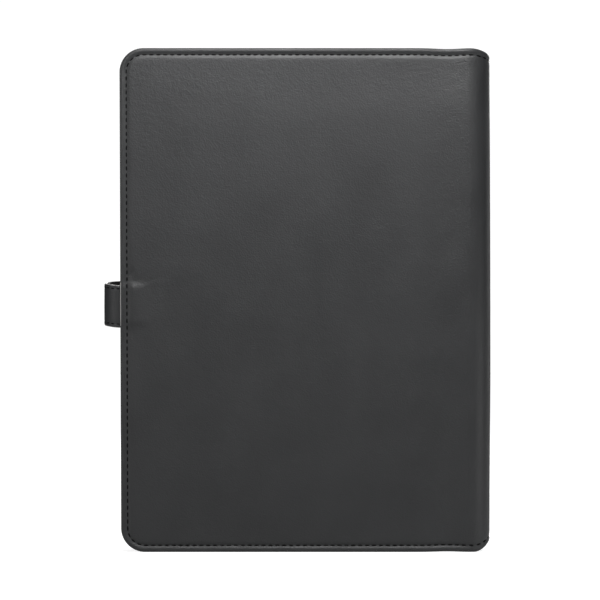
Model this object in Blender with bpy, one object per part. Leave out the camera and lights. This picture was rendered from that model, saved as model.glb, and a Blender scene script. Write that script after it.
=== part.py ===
"""A black leather cover round an A5 notebook, closed and standing on its bottom edges.

The frame is +Z up. The back cover faces -Y, the spine is at +X and the fore edge, with its snap
strap, is at -X. The origin is on the bottom edge of the back leather, in the middle of its
thickness. Every layer of the back cover is mirrored in the front cover about the spine's axis.
"""
import math

import bmesh
import bpy
from mathutils import Matrix

# Overall sizes
COVER_HEIGHT = 0.225
COVER_WIDTH = 0.165
CORNER_RADIUS = 0.0107

# Thicknesses of the layers, from the outside in
LEATHER = 0.0012
PADDING = 0.0008
BOARD = 0.0012
LINING = 0.0006
CARD = 0.0005
SLEEVE = 0.0008
LEAVES = 0.0019
GAP = 0.0003

# Insets from the cover's edges, and the distances kept from the spine's axis
BOARD_INSET = 0.005
PADDING_INSET = 0.0065
BOARD_TO_SPINE = 0.0045
NOTEBOOK_FORE_INSET = 0.0045
NOTEBOOK_END_INSET = 0.0075
NOTEBOOK_TO_SPINE = 0.00245
NOTEBOOK_CORNER = 0.006
SLEEVE_WIDTH = 0.070
BINDING = 0.0006
BINDING_SHORTER = 0.0002
LEAVES_SETBACK = 0.0005
FRONT_LEAVES_SETBACK = 0.0013

# Seams
SEAM_INSET = 0.003
SEAM_TO_SPINE = 0.0012
THREAD_WIDTH = 0.0004
THREAD_DEPTH = 0.0003

# Strap, which leaves the fore edge, turns round it and lies over the front cover
STRAP_WIDTH = 0.019
STRAP_LEATHER = 0.0012
STRAP_LINING = 0.0006
STRAP_REACH = 0.0073
STRAP_ROOT = 0.012
STRAP_TAB = 0.036
STRAP_BELOW_MIDDLE = 0.002
STRAP_SEAM_INSET = 0.0016
ROOT_CLEARANCE = 0.001

# Snap fastener
SNAP_FROM_TIP = 0.0105
POST_RADIUS = 0.0012
FLANGE = 0.0005
FLANGE_RADIUS = 0.0045
STUD_NECK = 0.0016
STUD_RADIUS = 0.0022
STUD_HEIGHT = 0.0017
STUD_CLEARANCE = 0.0004
SOCKET_RADIUS = 0.005
CAP_RADIUS = 0.006
CAP_HEIGHT = 0.0012

# Hinge lines, as angles round the spine and round the strap's loop
SPINE_HINGES = (30.0, 90.0, 150.0)
STRAP_HINGES = (45.0, 135.0)

ARC_STEPS = 10
TURNED_STEPS = 32
CUT = 0.001


def stack(thicknesses):
    """Lay layers on each other with a gap between them, and give each one's two faces."""
    faces = []
    low = -thicknesses[0] / 2
    for thickness in thicknesses:
        faces.append((low, low + thickness))
        low += thickness + GAP
    return faces


COVER_LAYERS = [LEATHER, PADDING, BOARD, LINING, CARD, SLEEVE]
LAYERS = stack(COVER_LAYERS + [LEAVES] * 3 + COVER_LAYERS[::-1])
LEATHER_Y, PADDING_Y, BOARD_Y, LINING_Y, CARD_Y, SLEEVE_Y = LAYERS[:6]
LEAVES_Y = LAYERS[6:9]

LEFT = -COVER_WIDTH / 2
AXIS_Y = (LAYERS[0][0] + LAYERS[-1][1]) / 2
SPINE_RADIUS = AXIS_Y - LAYERS[0][0]
AXIS_X = COVER_WIDTH / 2 - SPINE_RADIUS
FRONT_FACE = LAYERS[-1][1]

NOTEBOOK_LEFT = LEFT + NOTEBOOK_FORE_INSET
NOTEBOOK_RIGHT = AXIS_X - NOTEBOOK_TO_SPINE
BOARD_RIGHT = AXIS_X - BOARD_TO_SPINE
SEAM_RIGHT = AXIS_X - SEAM_TO_SPINE

STRAP_Z = COVER_HEIGHT / 2 - STRAP_BELOW_MIDDLE
STRAP_THICKNESS = STRAP_LEATHER + GAP + STRAP_LINING
ROOT_FACE = (LEATHER_Y[1] + LINING_Y[0] - STRAP_THICKNESS) / 2
STUD_TOP = FRONT_FACE + GAP + FLANGE + STUD_HEIGHT
TAB_INNER = STUD_TOP + STUD_CLEARANCE
TAB_FACE = TAB_INNER + STRAP_THICKNESS
ROOT_TURN_Y = ROOT_FACE + STRAP_REACH
TAB_TURN_Y = TAB_FACE - STRAP_REACH
TIP_X = LEFT + STRAP_TAB
SNAP_X = TIP_X - SNAP_FROM_TIP

MIDDLE_LEAVES_PIVOT = (NOTEBOOK_RIGHT, LEAVES_Y[1][1])
FRONT_LEAVES_PIVOT = (NOTEBOOK_RIGHT + FRONT_LEAVES_SETBACK, LEAVES_Y[2][1])


def turn_point(centre_x, centre_y, radius, angle):
    """The point at an angle round a centre; an angle of 0 points to -Y and 90 to +X."""
    turn = math.radians(angle)
    return centre_x + radius * math.sin(turn), centre_y - radius * math.cos(turn)


def clear_scene():
    for thing in list(bpy.data.objects):
        bpy.data.objects.remove(thing, do_unlink=True)


def make_material(name, colour, roughness, metallic=0.0):
    material = bpy.data.materials.new(name)
    material.use_nodes = True
    shader = material.node_tree.nodes["Principled BSDF"]
    shader.inputs["Base Color"].default_value = (*colour, 1.0)
    shader.inputs["Roughness"].default_value = roughness
    shader.inputs["Metallic"].default_value = metallic
    return material


def add_object(name, shape, material):
    """Turn a bmesh into a named object with its faces pointing out."""
    bmesh.ops.recalc_face_normals(shape, faces=shape.faces)
    mesh = bpy.data.meshes.new(name)
    shape.to_mesh(mesh)
    shape.free()
    thing = bpy.data.objects.new(name, mesh)
    thing.data.materials.append(material)
    bpy.context.collection.objects.link(thing)
    return thing


def prism(name, outline, low, high, along, material):
    """Extrude an outline along Y, where it holds (x, z) points, or along Z, where (x, y)."""
    shape = bmesh.new()
    rings = []
    for level in (low, high):
        places = [(a, level, b) if along == "Y" else (a, b, level) for a, b in outline]
        rings.append([shape.verts.new(place) for place in places])
    shape.faces.new(rings[0])
    shape.faces.new(rings[1])
    count = len(outline)
    for i in range(count):
        j = (i + 1) % count
        shape.faces.new((rings[0][i], rings[0][j], rings[1][j], rings[1][i]))
    return add_object(name, shape, material)


def turned(name, profile, x, z, material):
    """Turn a closed profile of (radius, y) points once round an axis along Y."""
    shape = bmesh.new()
    rim = [shape.verts.new((x + radius, y, z)) for radius, y in profile]
    edges = [shape.edges.new((rim[i], rim[(i + 1) % len(rim)])) for i in range(len(rim))]
    on_axis = [edge for edge in edges if all(abs(v.co.x - x) < 1e-9 for v in edge.verts)]
    bmesh.ops.delete(shape, geom=on_axis, context="EDGES")
    bmesh.ops.spin(
        shape, geom=shape.verts[:] + shape.edges[:], cent=(x, 0, z), axis=(0, 1, 0),
        angle=math.tau, steps=TURNED_STEPS,
    )
    bmesh.ops.remove_doubles(shape, verts=shape.verts, dist=1e-6)
    return add_object(name, shape, material)


def cut(target, cutter, operation="DIFFERENCE"):
    """Cut one object with another, which stays in the file as a hidden guide."""
    modifier = target.modifiers.new(cutter.name, "BOOLEAN")
    modifier.operation = operation
    modifier.solver = "EXACT"
    modifier.object = cutter
    cutter.hide_render = True
    cutter.display_type = "WIRE"


def arc(centre_x, centre_y, radius, start, end):
    """Evenly spaced points round a centre, from one angle to another."""
    angles = [start + (end - start) * step / ARC_STEPS for step in range(ARC_STEPS + 1)]
    return [turn_point(centre_x, centre_y, radius, angle) for angle in angles]


def rounded_left(inset, right, radius):
    """The path of a cover's three free edges, from the spine's top end to its bottom end."""
    left = LEFT + inset
    top = COVER_HEIGHT - inset
    path = [(right, top)]
    path += arc(left + radius, top - radius, radius, 180, 270)
    path += arc(left + radius, inset + radius, radius, 270, 360)
    path.append((right, inset))
    return path


def mirrored(points):
    """Take a profile of the back cover to the front cover."""
    return [(x, 2 * AXIS_Y - y) for x, y in points]


def swapped(faces):
    """Take a layer of the back cover to the front cover."""
    return 2 * AXIS_Y - faces[1], 2 * AXIS_Y - faces[0]


def joint_slit(radius):
    """Half the gap left at a hinge line, as an angle at a radius."""
    return math.degrees(math.asin(GAP / 2 / radius))


def leather_profile():
    """The outer leather: flat, then round the spine as far as its first hinge."""
    outer = SPINE_RADIUS
    inner = outer - LEATHER
    end = SPINE_HINGES[0] - joint_slit(inner)
    profile = [(LEFT, LEATHER_Y[0])] + arc(AXIS_X, AXIS_Y, outer, 0, end)
    return profile + arc(AXIS_X, AXIS_Y, inner, end, 0) + [(LEFT, LEATHER_Y[1])]


def lining_profile():
    """The lining: flat over the board, then down on to the spine's leather."""
    outer = SPINE_RADIUS - LEATHER - GAP
    inner = outer - LINING
    end = SPINE_HINGES[0] - joint_slit(inner)
    step_x = BOARD_RIGHT + GAP
    profile = [(LEFT, LINING_Y[0]), (step_x, LINING_Y[0])] + arc(AXIS_X, AXIS_Y, outer, 0, end)
    profile += arc(AXIS_X, AXIS_Y, inner, end, 0)
    return profile + [(step_x + GAP, LINING_Y[1]), (LEFT, LINING_Y[1])]


def spine_profile(outer, thickness, start, end):
    """A curved strip of the spine between two hinge lines."""
    inner = outer - thickness
    slit = joint_slit(inner)
    profile = arc(AXIS_X, AXIS_Y, outer, start + slit, end - slit)
    return profile + arc(AXIS_X, AXIS_Y, inner, end - slit, start + slit)


def loop_path(radius, start, end):
    """Points round the strap's loop: two quarter turns with a straight side between them."""
    path = []
    if start < 90:
        path += arc(LEFT, ROOT_TURN_Y, radius, -start, -min(end, 90))
    if end > 90:
        path += arc(LEFT, TAB_TURN_Y, radius, -max(start, 90), -end)
    return path


def strap_profile(depth, thickness, start, end, root_x=None, tip_x=None):
    """One layer of the strap, from a depth under its outer face."""
    outer = STRAP_REACH - depth
    inner = outer - thickness
    slit = joint_slit(inner)
    first = start if root_x is not None else start + slit
    last = end if tip_x is not None else end - slit
    outside = loop_path(outer, first, last)
    inside = loop_path(inner, first, last)[::-1]
    if root_x is not None:
        outside.insert(0, (root_x, ROOT_TURN_Y - outer))
        inside.append((root_x, ROOT_TURN_Y - inner))
    if tip_x is not None:
        outside.append((tip_x, TAB_TURN_Y + outer))
        inside.insert(0, (tip_x, TAB_TURN_Y + inner))
    return outside + inside


def edge_ribbon(inset, width, right):
    """A ribbon of a given width that follows a cover's seam."""
    outside = rounded_left(inset - width / 2, right, CORNER_RADIUS - inset + width / 2)
    inside = rounded_left(inset + width / 2, right, CORNER_RADIUS - inset - width / 2)
    return outside + inside[::-1]


def tab_path(inset, start_x):
    """The path of the strap tab's edges, round its tip."""
    radius = STRAP_WIDTH / 2 - inset
    tip = arc(TIP_X - STRAP_WIDTH / 2, STRAP_Z, radius, 0, 180)
    return [(start_x, STRAP_Z - radius)] + tip + [(start_x, STRAP_Z + radius)]


def inset_panel(inset, right, notched):
    """A stiffener's outline, with a notch where the strap's root lies."""
    outline = rounded_left(inset, right, max(CORNER_RADIUS - inset, GAP))
    if notched:
        half = STRAP_WIDTH / 2 + ROOT_CLEARANCE
        floor = LEFT + STRAP_ROOT + ROOT_CLEARANCE
        left = LEFT + inset
        notch = [
            (left, STRAP_Z + half), (floor, STRAP_Z + half),
            (floor, STRAP_Z - half), (left, STRAP_Z - half),
        ]
        middle = len(outline) // 2
        outline = outline[:middle] + notch + outline[middle:]
    return outline


def rectangle(left, right, inset, radius):
    """A sheet of the notebook, with its fore edge's corners rounded."""
    top = COVER_HEIGHT - inset
    outline = [(right, top)]
    outline += arc(left + radius, top - radius, radius, 180, 270)
    outline += arc(left + radius, inset + radius, radius, 270, 360)
    outline.append((right, inset))
    return outline


def make_panel(name, profile, trim, material):
    """A skin with a spine curve, trimmed to the cover's rounded outline."""
    panel = prism(name, profile, 0, COVER_HEIGHT, "Z", material)
    cut(panel, trim, "INTERSECT")
    return panel


def make_cover(side, place, flip, stuff):
    """All the layers of one cover; place moves a profile and flip moves a layer's faces."""
    far_right = COVER_WIDTH
    far_y = SPINE_RADIUS * 4
    trim = prism(
        side + "_trim", rounded_left(0, far_right, CORNER_RADIUS), -far_y, far_y, "Y",
        stuff["leather"],
    )
    leather = make_panel(side + "_leather", place(leather_profile()), trim, stuff["leather"])
    make_panel(side + "_lining", place(lining_profile()), trim, stuff["lining"])

    notched = side == "back"
    padding = prism(
        side + "_padding", inset_panel(PADDING_INSET, BOARD_RIGHT, notched),
        *flip(PADDING_Y), "Y", stuff["padding"],
    )
    prism(
        side + "_board", inset_panel(BOARD_INSET, BOARD_RIGHT, notched),
        *flip(BOARD_Y), "Y", stuff["board"],
    )
    prism(
        side + "_sleeve", rounded_left(0, LEFT + SLEEVE_WIDTH, CORNER_RADIUS),
        *flip(SLEEVE_Y), "Y", stuff["lining"],
    )
    prism(
        "notebook_" + side + "_card",
        rectangle(NOTEBOOK_LEFT, NOTEBOOK_RIGHT - LEAVES_SETBACK, NOTEBOOK_END_INSET, NOTEBOOK_CORNER),
        *flip(CARD_Y), "Y", stuff["card"],
    )

    outer = LEATHER_Y[0]
    thread_faces = (outer, outer + THREAD_DEPTH)
    groove_faces = (outer - CUT, outer + THREAD_DEPTH + GAP)
    prism(
        side + "_seam_thread", edge_ribbon(SEAM_INSET, THREAD_WIDTH, SEAM_RIGHT),
        *flip(thread_faces), "Y", stuff["thread"],
    )
    groove = prism(
        side + "_groove", edge_ribbon(SEAM_INSET, THREAD_WIDTH + 2 * GAP, SEAM_RIGHT + GAP),
        *flip(groove_faces), "Y", stuff["thread"],
    )
    cut(leather, groove)
    return leather, padding


def make_spine(stuff):
    """Two curved strips, each of leather with its lining, between the three hinge lines."""
    lining_radius = SPINE_RADIUS - LEATHER - GAP
    for side, start, end in (
        ("back", SPINE_HINGES[0], SPINE_HINGES[1]),
        ("front", SPINE_HINGES[1], SPINE_HINGES[2]),
    ):
        prism(
            "spine_" + side + "_leather", spine_profile(SPINE_RADIUS, LEATHER, start, end),
            0, COVER_HEIGHT, "Z", stuff["leather"],
        )
        prism(
            "spine_" + side + "_lining", spine_profile(lining_radius, LINING, start, end),
            0, COVER_HEIGHT, "Z", stuff["lining"],
        )


def make_notebook(stuff):
    """Three blocks of leaves, which fan out as the cover opens, and the cloth that binds them."""
    outline = rectangle(
        NOTEBOOK_LEFT, NOTEBOOK_RIGHT - LEAVES_SETBACK, NOTEBOOK_END_INSET, NOTEBOOK_CORNER
    )
    for name, faces in zip(("back_leaves", "middle_leaves", "front_leaves"), LEAVES_Y):
        prism(name, outline, *faces, "Y", stuff["paper"])
    binding_x = NOTEBOOK_RIGHT + GAP
    binding = [
        (binding_x, LEAVES_Y[0][0]), (binding_x + BINDING, LEAVES_Y[0][0]),
        (binding_x + BINDING, LEAVES_Y[1][1] - BINDING_SHORTER),
        (binding_x, LEAVES_Y[1][1] - BINDING_SHORTER),
    ]
    prism(
        "notebook_binding", binding, NOTEBOOK_END_INSET, COVER_HEIGHT - NOTEBOOK_END_INSET,
        "Z", stuff["binding"],
    )


def make_strap(stuff):
    """The strap's root, its side and its tab, each of leather with a lining inside it."""
    low = STRAP_Z - STRAP_WIDTH / 2
    high = STRAP_Z + STRAP_WIDTH / 2
    first, second = STRAP_HINGES
    root_x = LEFT + STRAP_ROOT
    tip = prism(
        "tab_trim", tab_path(0, LEFT - STRAP_TAB), AXIS_Y, TAB_FACE + STRAP_REACH, "Y",
        stuff["leather"],
    )
    tabs = []
    for layer, depth, thickness, material in (
        ("leather", 0.0, STRAP_LEATHER, stuff["leather"]),
        ("lining", STRAP_LEATHER + GAP, STRAP_LINING, stuff["lining"]),
    ):
        root = strap_profile(depth, thickness, 0, first, root_x=root_x)
        prism("strap_root_" + layer, root, low, high, "Z", material)
        side = strap_profile(depth, thickness, first, second)
        prism("strap_side_" + layer, side, low, high, "Z", material)
        tab = strap_profile(depth, thickness, second, 180, tip_x=TIP_X)
        tab_piece = prism("strap_tab_" + layer, tab, low, high, "Z", material)
        cut(tab_piece, tip, "INTERSECT")
        tabs.append(tab_piece)

    inset = STRAP_SEAM_INSET
    half = THREAD_WIDTH / 2
    thread = tab_path(inset - half, LEFT) + tab_path(inset + half, LEFT)[::-1]
    prism("strap_tab_thread", thread, TAB_FACE - THREAD_DEPTH, TAB_FACE, "Y", stuff["thread"])
    half += GAP
    groove = tab_path(inset - half, LEFT - GAP) + tab_path(inset + half, LEFT - GAP)[::-1]
    groove_cutter = prism(
        "tab_groove", groove, TAB_FACE - THREAD_DEPTH - GAP, TAB_FACE + CUT, "Y",
        stuff["thread"],
    )
    cut(tabs[0], groove_cutter)
    return tabs


def make_snap(front_leather, front_padding, tabs, stuff):
    """The two halves of the snap fastener, with the posts that hold them in the leather."""
    hole = POST_RADIUS + GAP
    well = FLANGE_RADIUS + GAP
    padding_faces = swapped(PADDING_Y)
    leather_faces = swapped(LEATHER_Y)
    base = FRONT_FACE + GAP
    stud = [
        (0, base), (FLANGE_RADIUS, base), (FLANGE_RADIUS, base + FLANGE),
        (STUD_NECK, base + FLANGE), (STUD_RADIUS, base + FLANGE + STUD_HEIGHT / 2),
        (STUD_RADIUS, STUD_TOP - GAP), (STUD_NECK, STUD_TOP), (0, STUD_TOP),
    ]
    turned("snap_stud", stud, SNAP_X, STRAP_Z, stuff["steel"])

    seat = padding_faces[1] - FLANGE
    rivet = [
        (0, seat), (FLANGE_RADIUS, seat), (FLANGE_RADIUS, seat + FLANGE),
        (POST_RADIUS, seat + FLANGE), (POST_RADIUS, leather_faces[1]), (0, leather_faces[1]),
    ]
    turned("snap_rivet", rivet, SNAP_X, STRAP_Z, stuff["steel"])

    socket_low = base + FLANGE + GAP
    bore = STUD_RADIUS + STUD_CLEARANCE
    socket = [
        (bore, socket_low), (SOCKET_RADIUS, socket_low), (SOCKET_RADIUS, TAB_INNER - 2 * GAP),
        (SOCKET_RADIUS - GAP, TAB_INNER - GAP), (bore, TAB_INNER - GAP),
    ]
    turned("snap_socket", socket, SNAP_X, STRAP_Z, stuff["steel"])

    cap_low = TAB_FACE + GAP
    dome = [(0, TAB_INNER + GAP), (POST_RADIUS, TAB_INNER + GAP), (POST_RADIUS, cap_low)]
    dome.append((CAP_RADIUS, cap_low))
    for step in range(ARC_STEPS):
        angle = math.radians(90 * step / ARC_STEPS)
        lift = FLANGE + (CAP_HEIGHT - FLANGE) * math.sin(angle)
        dome.append((CAP_RADIUS * math.cos(angle), cap_low + lift))
    dome.append((0, cap_low + CAP_HEIGHT))
    turned("snap_cap", dome, SNAP_X, STRAP_Z, stuff["steel"])

    post_hole = [(0, 0), (hole, 0), (hole, TAB_FACE + CUT), (0, TAB_FACE + CUT)]
    post_cutter = turned("post_hole", post_hole, SNAP_X, STRAP_Z, stuff["steel"])
    for piece in [front_leather] + tabs:
        cut(piece, post_cutter)
    well_low = padding_faces[0] - CUT
    well_high = padding_faces[1] + CUT
    well_profile = [(0, well_low), (well, well_low), (well, well_high), (0, well_high)]
    cut(front_padding, turned("rivet_well", well_profile, SNAP_X, STRAP_Z, stuff["steel"]))


def hang(name, place, pieces, parent=None):
    """Put an empty on a hinge's axis and hang the pieces that turn about it from it."""
    pivot = bpy.data.objects.new(name, None)
    pivot.location = (*place, COVER_HEIGHT / 2)
    bpy.context.collection.objects.link(pivot)
    children = [bpy.data.objects[piece] for piece in pieces]
    if parent:
        children.append(parent)
    for child in children:
        child.parent = pivot
        child.matrix_parent_inverse = Matrix.Translation(pivot.location).inverted()
    return pivot


def hang_moving_pieces():
    """Chain the hinges as the object moves: along the spine, at the leaves and along the strap."""
    spine_places = [turn_point(AXIS_X, AXIS_Y, SPINE_RADIUS, angle) for angle in SPINE_HINGES]
    front = [
        "front_leather", "front_padding", "front_board", "front_lining", "front_sleeve",
        "front_seam_thread", "notebook_front_card", "snap_stud", "snap_rivet",
    ]
    pivot = hang("spine_front_bend", spine_places[2], front)
    strip = ["spine_front_leather", "spine_front_lining"]
    pivot = hang("spine_middle_bend", spine_places[1], strip, pivot)
    hang("cover_open", spine_places[0], ["spine_back_leather", "spine_back_lining"], pivot)
    hang("middle_leaves_turn", MIDDLE_LEAVES_PIVOT, ["middle_leaves"])
    hang("front_leaves_turn", FRONT_LEAVES_PIVOT, ["front_leaves"])
    tab = [
        "strap_tab_leather", "strap_tab_lining", "strap_tab_thread", "snap_socket", "snap_cap",
    ]
    first, second = STRAP_HINGES
    pivot = hang("strap_tab_bend", turn_point(LEFT, TAB_TURN_Y, STRAP_REACH, -second), tab)
    side = ["strap_side_leather", "strap_side_lining"]
    hang("strap_unwrap", turn_point(LEFT, ROOT_TURN_Y, STRAP_REACH, -first), side, pivot)


def main():
    clear_scene()
    stuff = {
        "leather": make_material("black_leather", (0.012, 0.012, 0.013), 0.5),
        "lining": make_material("lining_leather", (0.02, 0.019, 0.018), 0.75),
        "padding": make_material("padding_felt", (0.2, 0.2, 0.2), 0.95),
        "board": make_material("stiff_board", (0.3, 0.26, 0.2), 0.9),
        "card": make_material("notebook_card", (0.03, 0.03, 0.035), 0.6),
        "paper": make_material("paper_leaves", (0.8, 0.77, 0.68), 0.9),
        "binding": make_material("binding_cloth", (0.03, 0.03, 0.035), 0.85),
        "thread": make_material("black_thread", (0.015, 0.015, 0.015), 0.6),
        "steel": make_material("nickel_steel", (0.6, 0.59, 0.57), 0.25, 1.0),
    }
    make_cover("back", list, tuple, stuff)
    front_leather, front_padding = make_cover("front", mirrored, swapped, stuff)
    make_spine(stuff)
    make_notebook(stuff)
    tabs = make_strap(stuff)
    make_snap(front_leather, front_padding, tabs, stuff)
    hang_moving_pieces()


main()
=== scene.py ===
"""Looks for a leather notebook cover: grained skins, linings, seams, strap, snap and leaves."""
import math

import bpy
from mathutils import Matrix, Vector, noise


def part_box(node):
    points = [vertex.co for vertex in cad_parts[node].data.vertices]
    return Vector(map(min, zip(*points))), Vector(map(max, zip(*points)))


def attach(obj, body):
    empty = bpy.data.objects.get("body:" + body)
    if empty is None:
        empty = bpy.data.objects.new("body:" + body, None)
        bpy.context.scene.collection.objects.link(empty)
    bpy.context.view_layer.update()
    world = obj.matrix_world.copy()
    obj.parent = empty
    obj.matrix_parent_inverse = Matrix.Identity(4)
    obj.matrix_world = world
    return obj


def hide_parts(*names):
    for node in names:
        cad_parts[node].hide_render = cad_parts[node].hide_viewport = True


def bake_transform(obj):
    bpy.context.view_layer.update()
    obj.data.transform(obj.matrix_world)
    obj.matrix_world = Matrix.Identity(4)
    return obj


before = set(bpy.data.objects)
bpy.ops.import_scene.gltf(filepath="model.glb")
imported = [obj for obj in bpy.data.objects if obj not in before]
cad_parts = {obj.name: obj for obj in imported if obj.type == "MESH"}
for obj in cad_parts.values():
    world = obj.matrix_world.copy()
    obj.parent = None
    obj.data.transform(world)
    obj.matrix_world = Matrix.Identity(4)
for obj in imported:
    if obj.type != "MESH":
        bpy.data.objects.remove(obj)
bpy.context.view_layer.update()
bpy.ops.object.select_all(action="DESELECT")

MM = 0.001

# ---------------------------------------------------------------- places read from the frame
SKIN_LOW, SKIN_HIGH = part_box("back_leather")
FRONT_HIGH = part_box("front_leather")[1]
SPINE_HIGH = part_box("spine_back_leather")[1]
LINING_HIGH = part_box("back_lining")[1]
SLEEVE_LOW, SLEEVE_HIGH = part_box("back_sleeve")
BOARD_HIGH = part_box("back_board")[1]
ROOT_LOW, ROOT_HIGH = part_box("strap_root_leather")
TAB_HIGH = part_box("strap_tab_leather")[1]
SIDE_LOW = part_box("strap_side_leather")[0]
CAP_LOW, CAP_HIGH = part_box("snap_cap")

LEFT = SKIN_LOW.x
HEIGHT = SKIN_HIGH.z
BACK_Y = SKIN_LOW.y
FRONT_Y = FRONT_HIGH.y
AXIS_Y = (BACK_Y + FRONT_Y) / 2
RADIUS = AXIS_Y - BACK_Y
AXIS_X = SPINE_HIGH.x - RADIUS
STRAP_Z = (ROOT_LOW.z + ROOT_HIGH.z) / 2
STRAP_HALF = (ROOT_HIGH.z - ROOT_LOW.z) / 2
SNAP_X = (CAP_LOW.x + CAP_HIGH.x) / 2

CORNER = 10.7 * MM
SEAM = 3.0 * MM
PITCH = 3.1 * MM
SKIN = 1.1 * MM
EDGE_LEAN = 0.8 * MM
HIGHLIGHT_WIDTH = 0.35 * MM

# ---------------------------------------------------------------- camera, light and stage
CAMERA_AWAY = 1.25
FRAME_WIDTH = 0.2678
SENSOR = 36.0
camera_data = bpy.data.cameras.new("camera")
camera_data.sensor_width = SENSOR
camera_data.lens = SENSOR * CAMERA_AWAY / FRAME_WIDTH
camera = bpy.data.objects.new("camera", camera_data)
camera.location = (-2.25 * MM, BACK_Y - CAMERA_AWAY, 112.5 * MM)
camera.rotation_euler = (math.radians(90), 0, 0)
bpy.context.collection.objects.link(camera)
bpy.context.scene.camera = camera
bpy.context.scene.view_settings.view_transform = "Standard"


def softbox(name, place, aim, size, power):
    """A square panel light that points at a place on the cover."""
    data = bpy.data.lights.new(name, "AREA")
    data.size = size
    data.energy = power
    lamp = bpy.data.objects.new(name, data)
    lamp.location = place
    lamp.rotation_euler = (Vector(aim) - Vector(place)).to_track_quat("-Z", "Y").to_euler()
    lamp.visible_camera = False
    bpy.context.collection.objects.link(lamp)


def lit_world():
    """A white world to look at that gives only a little light."""
    world = bpy.data.worlds.new("studio")
    world.use_nodes = True
    nodes = world.node_tree.nodes
    links = world.node_tree.links
    seen = nodes.new("ShaderNodeLightPath")
    dim = nodes["Background"]
    dim.inputs["Color"].default_value = WORLD_TINT
    dim.inputs["Strength"].default_value = WORLD_LIGHT
    bright = nodes.new("ShaderNodeBackground")
    bright.inputs["Color"].default_value = (1, 1, 1, 1)
    bright.inputs["Strength"].default_value = WORLD_SEEN
    mix = nodes.new("ShaderNodeMixShader")
    links.new(seen.outputs["Is Camera Ray"], mix.inputs[0])
    links.new(dim.outputs[0], mix.inputs[1])
    links.new(bright.outputs[0], mix.inputs[2])
    links.new(mix.outputs[0], nodes["World Output"].inputs["Surface"])
    bpy.context.scene.world = world


def pale_floor():
    """A white floor just under the cover that glows for the camera, with a painted shadow: it glows
    less near the cover.
    """
    bpy.ops.mesh.primitive_plane_add(size=6, location=(0, 0, -0.0002))
    floor = bpy.context.object
    floor.name = "floor"
    paper = bpy.data.materials.new("floor_paper")
    paper.use_nodes = True
    nodes = paper.node_tree.nodes
    links = paper.node_tree.links
    shader = nodes["Principled BSDF"]
    shader.inputs["Base Color"].default_value = (0.5, 0.5, 0.5, 1)
    shader.inputs["Roughness"].default_value = 0.9
    shader.inputs["Specular IOR Level"].default_value = 0.1
    shader.inputs["Emission Color"].default_value = (1, 1, 1, 1)
    seen = nodes.new("ShaderNodeLightPath")
    where = nodes.new("ShaderNodeTexCoord")
    away = nodes.new("ShaderNodeVectorMath")
    away.operation = "LENGTH"
    glow_with_shadow = nodes.new("ShaderNodeMapRange")
    glow_with_shadow.inputs["From Min"].default_value = FLOOR_SHADOW_REACH[0]
    glow_with_shadow.inputs["From Max"].default_value = FLOOR_SHADOW_REACH[1]
    glow_with_shadow.inputs["To Min"].default_value = FLOOR_SHADOW_GLOW
    glow_with_shadow.inputs["To Max"].default_value = FLOOR_FAR
    choose = nodes.new("ShaderNodeMapRange")
    choose.inputs["To Min"].default_value = FLOOR_LIGHT
    links.new(where.outputs["Object"], away.inputs[0])
    links.new(away.outputs["Value"], glow_with_shadow.inputs["Value"])
    links.new(seen.outputs["Is Camera Ray"], choose.inputs["Value"])
    links.new(glow_with_shadow.outputs["Result"], choose.inputs["To Max"])
    links.new(choose.outputs["Result"], shader.inputs["Emission Strength"])
    floor.data.materials.append(paper)


WORLD_TINT = (0.93, 0.97, 1.0, 1)
WORLD_LIGHT = 0.06
WORLD_SEEN = 1.05
FLOOR_LIGHT = 0.02
# Painted shadow: the floor as the camera sees it glows less near the cover than farther away.
FLOOR_SHADOW_GLOW = 0.86
FLOOR_FAR = 1.03
FLOOR_SHADOW_REACH = (0.15, 1.0)
LAMPS = (
    ("key", (0.00, -0.32, 0.47), (0, 0, 0.16), 0.22, 2.8),
    ("right", (0.24, -0.26, 0.45), (0.08, 0, 0.20), 0.2, 0.5),
    ("side", (0.58, 0.46, 0.13), (0.08, 0, 0.11), 0.3, 0.25),
    ("fill", (-0.35, -1.50, 0.25), (0, 0, 0.11), 1.0, 0.4),
    ("foot", (0.34, -0.12, 0.03), (0.08, 0, 0.03), 0.12, 0.15),
    ("left", (-0.60, -0.35, 0.25), (-0.08, 0, 0.12), 0.35, 0.8),
    ("behind", (0.20, 0.80, 0.55), (0, 0, 0.11), 0.6, 6.0),
)


def studio():
    """The world, the floor and the lamps."""
    lit_world()
    pale_floor()
    for lamp in LAMPS:
        softbox(*lamp)


# ---------------------------------------------------------------- materials
def new_finish(name, colour, rough, spec=0.5, metal=0.0):
    """A Principled material with its even values set on the shader itself."""
    finish = bpy.data.materials.new(name)
    finish.use_nodes = True
    shader = finish.node_tree.nodes["Principled BSDF"]
    shader.inputs["Base Color"].default_value = (*colour, 1)
    shader.inputs["Roughness"].default_value = rough
    shader.inputs["Specular IOR Level"].default_value = spec
    shader.inputs["Metallic"].default_value = metal
    return finish


def add_node(finish, kind, **values):
    """A node whose values are set on its sockets where it has them, or else on itself."""
    node = finish.node_tree.nodes.new(kind)
    for key, value in values.items():
        if key in node.inputs:
            node.inputs[key].default_value = value
        else:
            setattr(node, key, value)
    return node


def pattern(finish, kind, scale, stretch=(1, 1, 1), **values):
    """A texture on the piece's own coordinates, stretched along an axis if need be."""
    links = finish.node_tree.links
    where = add_node(finish, "ShaderNodeTexCoord")
    turn = add_node(finish, "ShaderNodeMapping")
    turn.inputs["Scale"].default_value = stretch
    texture = add_node(finish, kind, Scale=scale, **values)
    links.new(where.outputs["Object"], turn.inputs["Vector"])
    links.new(turn.outputs["Vector"], texture.inputs["Vector"])
    return texture


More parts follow.
